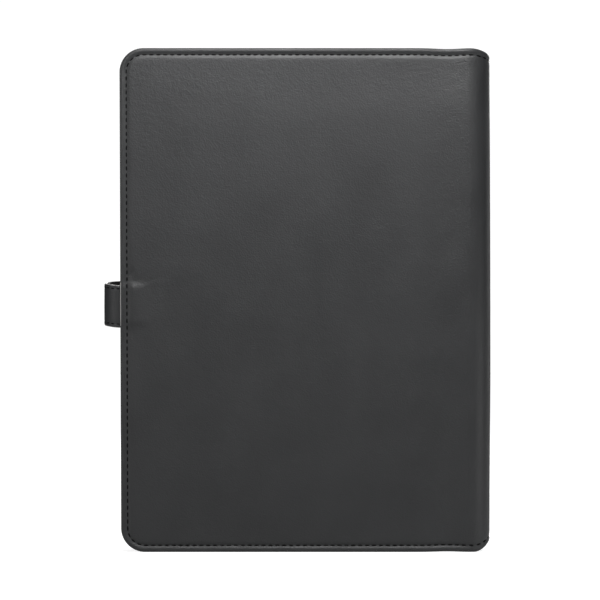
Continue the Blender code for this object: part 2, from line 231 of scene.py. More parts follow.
def vary(finish, texture, socket, low, high, output="Fac"):
    """Let a texture move one of the shader's inputs between two values or two colours."""
    links = finish.node_tree.links
    shader = finish.node_tree.nodes["Principled BSDF"]
    ramp = add_node(finish, "ShaderNodeValToRGB")
    first, last = ramp.color_ramp.elements
    first.position, last.position = 0.3, 0.7
    first.color = (*low, 1) if isinstance(low, tuple) else (low, low, low, 1)
    last.color = (*high, 1) if isinstance(high, tuple) else (high, high, high, 1)
    links.new(texture.outputs[output], ramp.inputs["Fac"])
    links.new(ramp.outputs["Color"], shader.inputs[socket])
    return ramp


def relief(finish, layers):
    """Stack bumps, each a (texture output, strength, depth) from coarse to fine."""
    links = finish.node_tree.links
    shader = finish.node_tree.nodes["Principled BSDF"]
    below = None
    for output, strength, depth in layers:
        bump = add_node(finish, "ShaderNodeBump", Strength=strength, Distance=depth)
        links.new(output, bump.inputs["Height"])
        if below:
            links.new(below.outputs["Normal"], bump.inputs["Normal"])
        below = bump
    links.new(below.outputs["Normal"], shader.inputs["Normal"])


def leather_finish(name, dark, light, rough_low, rough_high, grain):
    """Dyed leather: fine pebble and pores, cloudy colour and a satin that varies."""
    finish = new_finish(name, light, rough_high, 0.5)
    cloud = pattern(finish, "ShaderNodeTexNoise", 28, Detail=4.0, Roughness=0.55)
    vary(finish, cloud, "Base Color", dark, light)
    patch = pattern(finish, "ShaderNodeTexNoise", 55, Detail=5.0, Roughness=0.6)
    vary(finish, patch, "Roughness", rough_low, rough_high)
    pebble = pattern(finish, "ShaderNodeTexVoronoi", 1500, feature="SMOOTH_F1", Smoothness=0.6)
    pores = pattern(finish, "ShaderNodeTexNoise", 2600, Detail=3.0, Roughness=0.6)
    crease = pattern(finish, "ShaderNodeTexNoise", 300, Detail=5.0, Roughness=0.62)
    relief(finish, [
        (crease.outputs["Fac"], 0.30 * grain, 0.4 * MM),
        (pebble.outputs["Distance"], 0.40 * grain, 0.16 * MM),
        (pores.outputs["Fac"], 0.30 * grain, 0.08 * MM),
    ])
    return finish


def edge_finish(name, colour):
    """A leather edge, glossier than the grain side and a little uneven."""
    finish = new_finish(name, colour, 0.32)
    run = pattern(finish, "ShaderNodeTexNoise", 420, Detail=4.0)
    vary(finish, run, "Roughness", 0.26, 0.42)
    relief(finish, [(run.outputs["Fac"], 0.25, 0.12 * MM)])
    return finish


def thread_finish():
    """Waxed twisted thread, black; its very dark, matte colour also stands in for the shade in the
    stitch holes (painted shade).
    """
    finish = new_finish("black_thread", (0.003, 0.003, 0.003), 0.85, 0.12)
    twist = pattern(finish, "ShaderNodeTexWave", 900, Distortion=1.2)
    vary(finish, twist, "Base Color", (0.002, 0.002, 0.002), (0.005, 0.005, 0.005))
    relief(finish, [(twist.outputs["Fac"], 0.4, 0.08 * MM)])
    return finish


def paper_finish():
    """Cream leaves with faint ruled lines across and fibres in the surface."""
    finish = new_finish("leaf_paper", (0.80, 0.76, 0.66), 0.85, 0.25)
    links = finish.node_tree.links
    shader = finish.node_tree.nodes["Principled BSDF"]
    fibre = pattern(finish, "ShaderNodeTexNoise", 900, Detail=4.0)
    where = add_node(finish, "ShaderNodeTexCoord")
    split = add_node(finish, "ShaderNodeSeparateXYZ")
    links.new(where.outputs["Object"], split.inputs[0])
    step = add_node(finish, "ShaderNodeMath", operation="MODULO")
    step.inputs[1].default_value = 7.0 * MM
    links.new(split.outputs["Z"], step.inputs[0])
    line = add_node(finish, "ShaderNodeMath", operation="LESS_THAN")
    line.inputs[1].default_value = 0.25 * MM
    links.new(step.outputs[0], line.inputs[0])
    mix = add_node(finish, "ShaderNodeMix", data_type="RGBA")
    mix.inputs["A"].default_value = (0.80, 0.76, 0.66, 1)
    mix.inputs["B"].default_value = (0.47, 0.50, 0.52, 1)
    links.new(line.outputs[0], mix.inputs["Factor"])
    links.new(mix.outputs["Result"], shader.inputs["Base Color"])
    relief(finish, [(fibre.outputs["Fac"], 0.12, 0.05 * MM)])
    return finish


def fibre_finish(name, dark, light, scale, stretch, depth):
    """Board, card, felt and cloth: two shades of fibre with a matching relief."""
    finish = new_finish(name, light, 0.88, 0.25)
    fibre = pattern(finish, "ShaderNodeTexNoise", scale, stretch, Detail=5.0, Roughness=0.65)
    vary(finish, fibre, "Base Color", dark, light)
    relief(finish, [(fibre.outputs["Fac"], 0.35, depth)])
    return finish


def cloth_finish(name, dark, light, thread):
    """Plain-woven cloth: two crossed waves."""
    finish = new_finish(name, light, 0.82, 0.25)
    links = finish.node_tree.links
    up = pattern(finish, "ShaderNodeTexWave", thread, (0, 0, 1), bands_direction="Z")
    across = pattern(finish, "ShaderNodeTexWave", thread, (1, 1, 0), bands_direction="DIAGONAL")
    weave = add_node(finish, "ShaderNodeMath", operation="MAXIMUM")
    links.new(up.outputs["Fac"], weave.inputs[0])
    links.new(across.outputs["Fac"], weave.inputs[1])
    vary(finish, weave, "Base Color", dark, light, "Value")
    relief(finish, [(weave.outputs[0], 0.5, 0.1 * MM)])
    return finish


def metal_finish():
    """Nickel plate, polished with fine scuffs."""
    finish = new_finish("nickel", (0.62, 0.60, 0.57), 0.22, 0.5, 1.0)
    scuff = pattern(finish, "ShaderNodeTexNoise", 700, (1, 1, 6), Detail=6.0, Roughness=0.7)
    vary(finish, scuff, "Roughness", 0.16, 0.34)
    relief(finish, [(scuff.outputs["Fac"], 0.08, 0.03 * MM)])
    return finish


SKIN_LEATHER = leather_finish(
    "cover_leather", (0.0155, 0.0160, 0.0168), (0.0200, 0.0206, 0.0216), 0.44, 0.54, 1.0
)
LINING_LEATHER = leather_finish(
    "lining_leather", (0.016, 0.0155, 0.015), (0.024, 0.023, 0.022), 0.68, 0.82, 1.6
)
EDGE = edge_finish("edge_paint", (0.035, 0.035, 0.035))
# Painted highlight: a light grey edge colour, far lighter than the edge paint, for the strap's
# edges and the cover's edge beside the strap's root, where top light catches the rounded edges.
EDGE_HIGHLIGHT = edge_finish("painted_highlight_edge", (0.26, 0.255, 0.25))
THREAD = thread_finish()
PAPER = paper_finish()
BOARD = fibre_finish(
    "grey_board", (0.20, 0.17, 0.13), (0.34, 0.30, 0.24), 600, (1, 1, 1), 0.1 * MM
)
FELT = fibre_finish("grey_felt", (0.12, 0.12, 0.12), (0.26, 0.26, 0.26), 900, (1, 3, 1), 0.2 * MM)
CARD = fibre_finish(
    "dark_card", (0.020, 0.021, 0.025), (0.034, 0.035, 0.041), 1500, (1, 1, 1), 0.04 * MM
)
CLOTH = cloth_finish("binding_cloth", (0.012, 0.012, 0.014), (0.035, 0.035, 0.040), 900)
NICKEL = metal_finish()


# ---------------------------------------------------------------- shaping helpers
def ease(low, high, value):
    """0 below low, 1 above high and a smooth rise between."""
    t = min(max((value - low) / (high - low), 0), 1)
    return t * t * (3 - 2 * t)


def hump(centre, width, value):
    """A bell that is 1 at its centre."""
    return math.exp(-((value - centre) / width) ** 2)


def spread(start, end, step):
    """Evenly spaced values from start up to end, without the end."""
    count = max(1, round((end - start) / step))
    return [start + (end - start) * i / count for i in range(count)]


def round_off(a, b):
    """Move a place in a square corner block to its place in a quarter disc of the same size."""
    reach = max(a, b)
    if reach <= 0:
        return a, b
    turn = math.pi / 4 * min(a, b) / reach
    along, aside = reach * math.cos(turn), reach * math.sin(turn)
    return (along, aside) if a >= b else (aside, along)


def only(piece):
    """Select one piece alone and make it active."""
    bpy.ops.object.select_all(action="DESELECT")
    piece.select_set(True)
    bpy.context.view_layer.objects.active = piece


def apply(piece, kind, **values):
    """Add a modifier, set it and apply it."""
    only(piece)
    modifier = piece.modifiers.new(kind, kind)
    for key, value in values.items():
        setattr(modifier, key, value)
    bpy.ops.object.modifier_apply(modifier=modifier.name)


def finish_piece(piece, name, finishes, angle=45):
    """Name a piece, smooth it and give it its materials."""
    piece.name = name
    piece.data.name = name
    slots = piece.data.materials
    while len(slots) > len(finishes):
        slots.pop()
    while len(slots) < len(finishes):
        slots.append(None)
    for number, finish in enumerate(finishes):
        slots[number] = finish
    only(piece)
    bpy.ops.object.shade_smooth_by_angle(angle=math.radians(angle))
    return piece


def shaped_sheet(across, up, place, turned_over, thickness, rim_rows=0):
    """A grid whose lines are moved into place, then thickened inwards from its outer face."""
    columns, rows = len(across), len(up)
    bpy.ops.mesh.primitive_grid_add(x_subdivisions=columns - 1, y_subdivisions=rows - 1, size=2)
    sheet = bpy.context.object
    for vertex in sheet.data.vertices:
        i = round((vertex.co.x + 1) / 2 * (columns - 1))
        j = round((vertex.co.y + 1) / 2 * (rows - 1))
        vertex.co = place(across[i], up[j])
    if turned_over:
        only(sheet)
        bpy.ops.object.mode_set(mode="EDIT")
        bpy.ops.mesh.select_all(action="SELECT")
        bpy.ops.mesh.flip_normals()
        bpy.ops.object.mode_set(mode="OBJECT")
    for _ in range(2):
        sheet.data.materials.append(None)
    # The first and last rows of faces may take the rim's material; on the strap's leather that is
    # the light grey of a painted highlight.
    for polygon in sheet.data.polygons:
        row = polygon.index // (columns - 1)
        polygon.material_index = int(min(row, rows - 2 - row) < rim_rows)
    apply(
        sheet, "SOLIDIFY", thickness=thickness, offset=-1, use_even_offset=False,
        material_offset_rim=1,
    )
    return sheet


def joined(pieces):
    """Join pieces into the first of them."""
    only(pieces[0])
    for piece in pieces[1:]:
        piece.select_set(True)
    bpy.ops.object.join()
    return bpy.context.object


def copied(piece, change):
    """A copy with its own mesh, whose points are moved by a matrix."""
    copy = piece.copy()
    copy.data = piece.data.copy()
    copy.data.transform(change)
    bpy.context.collection.objects.link(copy)
    return copy


# ---------------------------------------------------------------- the cover's section
# A point of a layer has s, its distance along the section from the spine's start (negative on the
# flat panel), z, its height, and a depth inwards from the cover's outer face.
FLAT = AXIS_X - LEFT
ARC = RADIUS * math.radians(60)
SPINE = 3 * ARC


def cover_point(s, z, depth):
    """A point of the cover's true section: flat panel first, then the spine's arc."""
    if s <= 0:
        return Vector((AXIS_X + s, BACK_Y + depth, z))
    angle = s / RADIUS
    reach = RADIUS - depth
    return Vector((AXIS_X + reach * math.sin(angle), AXIS_Y - reach * math.cos(angle), z))


def mirrored(point):
    """The same place on the other half of the cover."""
    return Vector((point.x, 2 * AXIS_Y - point.y, point.z))


def rounded(s, z):
    """Bend the lines round the cover's corners, and give the inset of a place from the edge."""
    x = s + FLAT
    inset = min(x, z, HEIGHT - z)
    if x < CORNER and (z < CORNER or z > HEIGHT - CORNER):
        low = z < CORNER
        a = CORNER - x
        b = CORNER - z if low else z - (HEIGHT - CORNER)
        inset = CORNER - max(a, b)
        a, b = round_off(a, b)
        x = CORNER - a
        z = CORNER - b if low else HEIGHT - CORNER + b
    return x - FLAT, z, inset


SWELL = 0.45 * MM
DIP = 0.45 * MM
HEAD_DROP = 2.5 * MM
FOOT_RISE = 4.4 * MM
END_RUN = 16 * MM


def settle(s, z):
    """The cover isn't quite true: its fore edge leans and its spine's ends are pulled down."""
    near = min(s, SPINE - s)
    aside = EDGE_LEAN * (0.5 - z / HEIGHT) * min(max(-near / FLAT, 0), 1)
    swell = SWELL * (1 - (2 * z / HEIGHT - 1) ** 2) + SWELL
    aside += swell * ease(0, ARC, near)
    head = 1 - ease(0, END_RUN, HEIGHT - z)
    foot = 1 - ease(0, END_RUN, z)
    dip = DIP * hump(-9 * MM, 7 * MM, near)
    drop = head * (dip + HEAD_DROP * ease(1 * MM, END_RUN, near))
    rise = foot * (0.6 * dip + FOOT_RISE * ease(3 * MM, END_RUN, near))
    return Vector((aside, 0, rise - drop))


def placed(s, z, depth, front):
    """A point of the cover, settled, on the back half or mirrored onto the front half."""
    point = cover_point(s, z, depth) + settle(s, z)
    return mirrored(point) if front else point


def over_strap(s, z):
    """How far the strap's root lifts the leather at a place, from 0 to 1."""
    x = s + FLAT
    beside = abs(z - STRAP_Z) - STRAP_HALF
    return (1 - ease(-2.4 * MM, 1.4 * MM, beside)) * (1 - ease(5 * MM, 15 * MM, x))


DENT = 0.60 * MM
LOWER_DENT = 0.30 * MM
DENT_X = 4.6 * MM
FOLDS = ((10, 0.10 * MM), (28, 0.09 * MM), (46, 0.10 * MM), (64, 0.08 * MM))
FOLD_HALF = 6


def strap_creases(s, z):
    """A dent beside the strap's root and a few short folds that fan out from it."""
    x = s + FLAT
    up = z - (STRAP_Z + STRAP_HALF)
    down = (STRAP_Z - STRAP_HALF) - z
    depth = DENT * hump(DENT_X, 1.6 * MM, x) * hump(4.0 * MM, 3.2 * MM, up)
    depth += LOWER_DENT * hump(DENT_X, 1.8 * MM, x) * hump(3.0 * MM, 2.4 * MM, down)
    reach = math.hypot(x - 4 * MM, up + 2 * MM)
    angle = math.degrees(math.atan2(up + 2 * MM, x - 4 * MM))
    fade = ease(3 * MM, 8 * MM, reach) * (1 - ease(10 * MM, 26 * MM, reach))
    for fold, size in FOLDS:
        depth -= size * hump(fold, FOLD_HALF, angle) * fade
    return depth


def sway(s, z, inset):
    """The soft unevenness of leather over padding."""
    broad = 0.15 * MM * noise.noise(Vector((s * 24, z * 24, 3.7)))
    small = 0.04 * MM * noise.noise(Vector((s * 85, z * 85, 9.1)))
    return (broad + small) * ease(4 * MM, 16 * MM, inset)


def skin_depth(s, z, inset, strap):
    """The outer leather's face: a rim with a crest, a valley at the stitches and a full panel."""
    near = min(s, SPINE - s)
    spine = ease(-6 * MM, 3 * MM, near)
    rim = RIM_DROP * (1 - ease(SEAM, 2 * SEAM, inset)) * (1 - 0.5 * spine)
    slope = 0.95 * MM if inset < SEAM else 0.75 * MM
    valley = VALLEY * hump(SEAM, slope, inset) * (1 - 0.5 * spine)
    crest = -CREST * hump(1.4 * MM, 0.7 * MM, inset)
    edge = EDGE_TURN * (1 - ease(0, 0.75 * MM, inset))
    crown = -CROWN * ease(6 * MM, 34 * MM, inset) * (1 - spine)
    broad = 15 * MM if near < ROLL else 6 * MM
    roll = -ROLL_LIFT * hump(ROLL, broad, near) * ease(4 * MM, 28 * MM, inset)
    depth = rim + valley + crest + edge + crown + roll + sway(s, z, inset)
    if strap:
        lift = over_strap(near, z)
        depth -= (RIM_LIFT + PANEL_LIFT * ease(SEAM, 2 * SEAM, inset)) * lift
        depth += strap_creases(near, z)
    return depth


def lining_depth(s, z, inset, strap):
    """The lining's outer face, close to the leather at the rim and spine and clear of the board."""
    near = min(s, SPINE - s)
    rim = LINING_AT_RIM
    if strap:
        rim += (LINING_OVER_STRAP - LINING_AT_RIM) * over_strap(near, z)
    panel = rim + (LINING_FLAT - rim) * ease(SEAM, 4.9 * MM, inset)
    roll = LINING_IN_SPINE + 0.3 * MM * ease(SEAM, 5 * MM, inset)
    into = ease(-4.2 * MM, 1.5 * MM, near)
    return panel * (1 - into) + roll * into


def sleeve_depth(s, z, inset, strap):
    """The sleeve's outer face, which leaves room for the notebook's card."""
    rim = lining_depth(s, z, 0, strap) + LINING_THICK + 0.05 * MM
    fold = -0.10 * MM * hump(SLEEVE_END - 2.2 * MM, 0.5 * MM, s)
    return rim + (SLEEVE_FLAT - rim) * ease(SEAM, 4.5 * MM, inset) + fold


RIM_DROP = 0.12 * MM
VALLEY = 0.42 * MM
CREST = 0.08 * MM
EDGE_TURN = 0.42 * MM
CROWN = 0.32 * MM
ROLL = 3 * MM
ROLL_LIFT = 0.8 * MM
RIM_LIFT = 0.35 * MM
PANEL_LIFT = 0.45 * MM
LINING_THICK = 0.55 * MM
LINING_FLAT = LINING_HIGH.y - BACK_Y - LINING_THICK
LINING_AT_RIM = 2.15 * MM
LINING_OVER_STRAP = 3.85 * MM
LINING_IN_SPINE = 1.30 * MM
SLEEVE_FLAT = SLEEVE_LOW.y - BACK_Y
SLEEVE_THICK = 0.70 * MM
SLEEVE_END = SLEEVE_HIGH.x - AXIS_X

RIM_WIDTH = 11.2 * MM
FINE = 0.31 * MM
TURN_STEP = 0.28 * MM
WIDE = 3.2 * MM


def rows_up():
    """Level lines, close together near the seams and at the strap and wide apart elsewhere."""
    strap_low, strap_high = STRAP_Z - 16 * MM, STRAP_Z + 30 * MM
    lines = spread(0, RIM_WIDTH, FINE)
    lines += spread(RIM_WIDTH, strap_low, WIDE)
    lines += spread(strap_low, strap_high, 0.8 * MM)
    lines += spread(strap_high, HEIGHT - RIM_WIDTH, WIDE)
    return lines + spread(HEIGHT - RIM_WIDTH, HEIGHT, FINE) + [HEIGHT]


def columns_to(end):
    """Upright lines from the fore edge to a place on the section."""
    lines = spread(-FLAT, -FLAT + RIM_WIDTH, FINE)
    lines += spread(-FLAT + RIM_WIDTH, -FLAT + 32 * MM, 0.9 * MM)
    if end < 0:
        lines += spread(-FLAT + 32 * MM, end - 4 * MM, WIDE)
        return lines + spread(end - 4 * MM, end, 0.3 * MM) + [end]
    lines += spread(-FLAT + 32 * MM, -14 * MM, WIDE)
    return lines + spread(-14 * MM, 0, 0.9 * MM) + spread(0, end, TURN_STEP) + [end]


ROWS = rows_up()


def layer_place(depth_of, front, strap):
    """Where a grid's place goes on one layer of the cover."""
    def place(s, z):
        s, z, inset = rounded(s, z)
        return placed(s, z, depth_of(s, z, inset, strap), front)
    return place


def bend(piece, start, end):
    """Work out a hinge's two places along the section, which are not used further, and bake the
    piece's placement into its mesh.
    """
    ends = [cover_point(s, HEIGHT / 2, 0.6 * MM) for s in (start, end)]
    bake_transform(piece)


def bend_back(piece):
    bend(piece, 0, ARC)


def bend_spine(piece):
    bend(piece, ARC, 2 * ARC)


def bend_front(piece):
    bend(piece, 2 * ARC, SPINE)


def make_layer(kind, depth_of, thickness, finishes):
    """One layer of the whole cover as a back panel, a spine and a front panel that meet unseen."""
    panel = columns_to(ARC)
    turn = spread(ARC, 2 * ARC, TURN_STEP) + [2 * ARC]
    back = shaped_sheet(panel, ROWS, layer_place(depth_of, False, True), False, thickness)
    middle = shaped_sheet(turn, ROWS, layer_place(depth_of, False, False), False, thickness)
    front = shaped_sheet(panel, ROWS, layer_place(depth_of, True, False), True, thickness)
    finish_piece(back, "back_" + kind, finishes)
    finish_piece(middle, "spine_" + kind, finishes)
    finish_piece(front, "front_" + kind, finishes)
    bend_back(back)
    bend_spine(middle)
    bend_front(front)
    return back, middle, front


def make_skins():
    back, middle, front = make_layer(
        "skin", skin_depth, SKIN, [SKIN_LEATHER, EDGE]
    )
    # Painted highlight: the leather's edge faces beside the strap's root take the light grey edge
    # colour, where light catches the edge that bulges over the strap.
    back.data.materials.append(EDGE_HIGHLIGHT)
    for face in back.data.polygons:
        if face.center.x < LEFT + HIGHLIGHT_WIDTH and abs(face.center.z - STRAP_Z) < STRAP_HALF:
            face.material_index = 2
    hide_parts("back_leather")
    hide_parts("spine_back_leather", "spine_front_leather")
    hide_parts("front_leather")


def make_linings():
    back, middle, front = make_layer(
        "inner_skin", lining_depth, LINING_THICK, [LINING_LEATHER, EDGE]
    )
    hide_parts("back_lining")
    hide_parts("spine_back_lining", "spine_front_lining")
    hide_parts("front_lining")


def make_sleeves():
    """The pockets that take the notebook's cards, open towards the spine."""
    columns = columns_to(SLEEVE_END)
    for side, front in (("back", False), ("front", True)):
        place = layer_place(sleeve_depth, front, not front)
        sleeve = shaped_sheet(columns, ROWS, place, front, SLEEVE_THICK)
        finish_piece(sleeve, side + "_pocket", [LINING_LEATHER, EDGE])
        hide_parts(side + "_sleeve")
        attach(sleeve, side + "_cover")


def felt_depth(s, z, inset, strap):
    """The felt's outer face, just under the leather and over the strap's root."""
    soft = 0.25 * MM * (1 - ease(FELT_INSET, FELT_INSET + 1.5 * MM, inset))
    crown = 0.25 * MM * ease(8 * MM, 34 * MM, inset)
    lift = FELT_LIFT * over_strap(s, z) if strap else 0
    return FELT_DEPTH + soft - crown - lift


FELT_INSET = 6.5 * MM
FELT_DEPTH = 1.42 * MM
FELT_LIFT = 0.90 * MM
FELT_THICK = 0.75 * MM


def make_felts():
    """A thin pad between the leather and the board of each cover."""
    start = -FLAT + FELT_INSET
    columns = spread(start, start + 5 * MM, 0.5 * MM)
    columns += spread(start + 5 * MM, BOARD_HIGH.x - AXIS_X, 2 * MM)
    rows = spread(FELT_INSET, 12 * MM, 0.5 * MM) + spread(12 * MM, HEIGHT - 12 * MM, 2 * MM)
    rows += spread(HEIGHT - 12 * MM, HEIGHT - FELT_INSET, 0.5 * MM) + [HEIGHT - FELT_INSET]
    for side, front in (("back", False), ("front", True)):
        place = layer_place(felt_depth, front, not front)
        felt = shaped_sheet(columns, rows, place, front, FELT_THICK)
        finish_piece(felt, side + "_felt", [FELT, FELT])
        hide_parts(side + "_padding")
        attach(felt, side + "_cover")


# ---------------------------------------------------------------- stitches
STITCH_LONG = 2.2 * MM
STITCH_WIDE = 0.8 * MM
SUNK = 0.02 * MM


def one_stitch(length, width):
    """A single plump stitch that lies along X with its outer side towards +Z."""
    bpy.ops.mesh.primitive_uv_sphere_add(segments=8, ring_count=6, radius=0.5)
    stitch = bpy.context.object
    bpy.ops.object.mode_set(mode="EDIT")
    bpy.ops.mesh.select_all(action="SELECT")
    bpy.ops.transform.rotate(value=math.pi / 2, orient_axis="Y", center_override=(0, 0, 0))
    bpy.ops.transform.resize(value=(length, width, 0.5 * width), center_override=(0, 0, 0))
    bpy.ops.object.mode_set(mode="OBJECT")
    return stitch


def stitched(places, size=1.0):
    """Stitches at the given places, each a centre, a direction along and a direction outwards."""
    model = one_stitch(size * STITCH_LONG, size * STITCH_WIDE)
    stitches = []
    for centre, along, outwards in places:
        along = along.normalized()
        aside = outwards.cross(along).normalized()
        outwards = along.cross(aside)
        turn = Matrix((along, aside, outwards)).transposed().to_4x4()
        stitches.append(copied(model, Matrix.Translation(centre) @ turn))
    bpy.data.objects.remove(model)
    return joined(stitches)


def seam_places(length_of, at, pitch):
    """Evenly spaced places on a line, from the line's length and its point at a distance."""
    count = max(1, round(length_of / pitch))
    step = length_of / count
    for i in range(count):
        middle = (i + 0.5) * step
        centre, outwards = at(middle)
        before, _ = at(middle - 0.4 * MM)
        after, _ = at(middle + 0.4 * MM)
        yield centre, after - before, outwards


def panel_seam(distance):
    """A place on a panel's seam: along the foot, round the fore edge and back along the head."""
    radius = CORNER - SEAM
    run = FLAT - CORNER
    turn = radius * math.pi / 2
    up = HEIGHT - 2 * CORNER
    if distance <= run:
        return -distance, SEAM
    distance -= run
    if distance <= turn:
        a = distance / radius
        return -FLAT + CORNER - radius * math.sin(a), CORNER - radius * math.cos(a)
    distance -= turn
    if distance <= up:
        return -FLAT + SEAM, CORNER + distance
    distance -= up
    if distance <= turn:
        a = distance / radius
        return -FLAT + CORNER - radius * math.cos(a), HEIGHT - CORNER + radius * math.sin(a)
    return -FLAT + CORNER + distance - turn, HEIGHT - SEAM


PANEL_SEAM = 2 * (FLAT - CORNER) + math.pi * (CORNER - SEAM) + HEIGHT - 2 * CORNER


def thread_at(s, z, front, strap, inside):
    """The middle of a stitch on the cover's outer or inner face, and the way out of that face."""
    if inside:
        held = s < SLEEVE_END
        depth_of = sleeve_depth if held else lining_depth
        depth = depth_of(s, z, SEAM, strap) + (SLEEVE_THICK if held else LINING_THICK) - SUNK
    else:
        depth = skin_depth(s, z, SEAM, strap) - SUNK
    centre = placed(s, z, depth, front)
    below = placed(s, z, depth + MM, front)
    outwards = (centre - below).normalized()
    return centre, -outwards if inside else outwards


def make_seams():
    """The stitches round both panels and across the spine's head and foot, on both faces."""
    for side, front, bend_it in (("back", False, bend_back), ("front", True, bend_front)):
        places = []
        for inside in (False, True):
            def on_panel(distance, inside=inside):
                return thread_at(*panel_seam(distance), front, not front, inside)
            places += seam_places(PANEL_SEAM, on_panel, PITCH)
            for z in (SEAM, HEIGHT - SEAM):
                def on_spine(distance, z=z, inside=inside):
                    return thread_at(distance, z, front, False, inside)
                places += seam_places(ARC, on_spine, PITCH)
        seam = finish_piece(stitched(places), side + "_stitches", [THREAD], 180)
        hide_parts(side + "_seam_thread")
        bend_it(seam)
    places = []
    for inside in (False, True):
        for z in (SEAM, HEIGHT - SEAM):
            def across(distance, z=z, inside=inside):
                return thread_at(ARC + distance, z, False, False, inside)
            places += seam_places(ARC, across, PITCH)
    bend_spine(finish_piece(stitched(places), "spine_stitches", [THREAD], 180))


# ---------------------------------------------------------------- strap
REACH = LEFT - SIDE_LOW.x
QUARTER = REACH * math.pi / 2
ROOT_TURN = ROOT_LOW.y + REACH
TAB_TURN = TAB_HIGH.y - REACH
EXIT = ROOT_HIGH.x - LEFT
SIDE_START = EXIT + QUARTER
SIDE_END = SIDE_START + TAB_TURN - ROOT_TURN
TAB_START = SIDE_END + QUARTER
TIP = TAB_START + TAB_HIGH.x - LEFT
SNAP = TAB_START + SNAP_X - LEFT
MIDDLE = (SIDE_START + SIDE_END) / 2
STRAP_SEAM = 1.6 * MM
STRAP_THICK = 1.15 * MM
STRAP_LINING = 1.2 * MM
STRAP_LINING_THICK = 0.6 * MM
STRAP_STITCH = 0.75
STRAP_PITCH = 2.6 * MM
STRAP_EDGE = 0.42 * MM
STRAP_VALLEY = 0.14 * MM
LOW_START = 0.9 * MM
CLIMB = 1.1 * MM
BOW = 0.6 * MM


def strap_section(t, depth):
    """A point of the strap's section, at a distance from its sewn-in end and a depth inwards."""
    reach = REACH - depth
    if t <= EXIT:
        return ROOT_HIGH.x - t, ROOT_TURN - reach
    if t <= SIDE_START:
        a = (t - EXIT) / REACH
        return LEFT - reach * math.sin(a), ROOT_TURN - reach * math.cos(a)
    if t <= SIDE_END:
        return LEFT - reach, ROOT_TURN + t - SIDE_START
    if t <= TAB_START:
        a = (t - SIDE_END) / REACH
        return LEFT - reach * math.cos(a), TAB_TURN + reach * math.sin(a)
    return LEFT + t - TAB_START, TAB_TURN + reach


def strap_point(t, across, depth):
    """A point of the strap, which climbs a little on its way round to the front."""
    climb = -LOW_START * (1 - ease(EXIT, SIDE_START, t))
    climb += CLIMB * ease(SIDE_START, TAB_START, t) * (1 - ease(TAB_START, SNAP - 5 * MM, t))
    x, y = strap_section(t, depth)
    x -= BOW * hump(MIDDLE, 7 * MM, t)
    return Vector((x, y, STRAP_Z + climb + across))


def strap_place(layer_depth, outer):
    """Where a grid's place goes on the strap, with its tip rounded off."""
    def place(t, across):
        past = t - (TIP - STRAP_HALF)
        beside = STRAP_HALF - abs(across)
        if past > 0:
            beside = STRAP_HALF - max(past, abs(across))
            past, aside = round_off(past, abs(across))
            t = TIP - STRAP_HALF + past
            across = math.copysign(aside, across)
        depth = layer_depth
        if outer:
            depth += STRAP_EDGE * (1 - ease(0, 0.7 * MM, beside))
            depth += STRAP_VALLEY * hump(STRAP_SEAM, 0.4 * MM, beside)
            depth += 0.05 * MM * noise.noise(Vector((t * 120, across * 120, 5.3)))
        return strap_point(t, across, depth)
    return place


def strap_places(start, end, round_tip):
    """The stitches along both edges of a stretch of the strap, and round its tip."""
    aside = STRAP_HALF - STRAP_SEAM
    tip = TIP - STRAP_HALF

    def at(distance, sign):
        t = start + distance
        across = sign * aside
        if round_tip and t > tip:
            a = min((t - tip) / aside, math.pi / 2)
            t = tip + aside * math.sin(a)
            across = sign * aside * math.cos(a)
        out = strap_point(t, across, 0.10 * MM)
        return out, (out - strap_point(t, across, MM)).normalized()

    length = tip + aside * math.pi / 2 - start if round_tip else end - start
    for sign in (-1, 1):
        yield from seam_places(length, lambda distance, sign=sign: at(distance, sign), STRAP_PITCH)


def strap_blend(piece, second):
    """Work out the two places at the loop's first or second turn, which are not used further, and
    bake the piece's placement into its mesh.
    """
    start, end = (SIDE_END, TAB_START) if second else (EXIT, SIDE_START)
    trim = QUARTER * 0.2
    ends = [strap_section(t, STRAP_THICK / 2) for t in (start + trim, end - trim)]
    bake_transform(piece)


def make_strap():
    """The strap in two stretches that meet at the middle of its side, each leather over lining."""
    edge = 1.8 * MM
    up = spread(-STRAP_HALF, -STRAP_HALF + edge, 0.3 * MM)
    up += spread(-STRAP_HALF + edge, STRAP_HALF - edge, 0.8 * MM)
    up += spread(STRAP_HALF - edge, STRAP_HALF, 0.3 * MM) + [STRAP_HALF]
    root = spread(0, EXIT, 1.2 * MM) + spread(EXIT, MIDDLE, 0.45 * MM) + [MIDDLE]
    tip = TIP - STRAP_HALF
    tab = spread(MIDDLE, TAB_START, 0.45 * MM) + spread(TAB_START, tip, 1.0 * MM)
    tab += spread(tip, TIP - edge, 0.6 * MM) + spread(TIP - edge, TIP, 0.3 * MM) + [TIP]
    for along, kind, second in ((root, "side", False), (tab, "tab", True)):
        nodes = ("tab",) if second else ("root", "side")
        # The strap's rims, and the leather's outermost rows, take the light grey edge colour: a
        # painted highlight along its edges.
        leather = shaped_sheet(along, up, strap_place(0, True), True, STRAP_THICK, 1)
        finish_piece(leather, "strap_" + kind + "_skin", [SKIN_LEATHER, EDGE_HIGHLIGHT])
        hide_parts(*("strap_" + node + "_leather" for node in nodes))
        inner = strap_place(STRAP_LINING, False)
        lining = shaped_sheet(along, up, inner, True, STRAP_LINING_THICK)
        finish_piece(lining, "strap_" + kind + "_inner_skin", [LINING_LEATHER, EDGE_HIGHLIGHT])
        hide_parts(*("strap_" + node + "_lining" for node in nodes))
        places = strap_places(MIDDLE if second else EXIT - 3 * MM, MIDDLE, second)
        stitches = stitched(places, STRAP_STITCH)
        seam = finish_piece(stitches, "strap_" + kind + "_stitches", [THREAD], 180)
        if second:
            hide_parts("strap_tab_thread")
        for piece in (leather, lining, seam):
            strap_blend(piece, second)


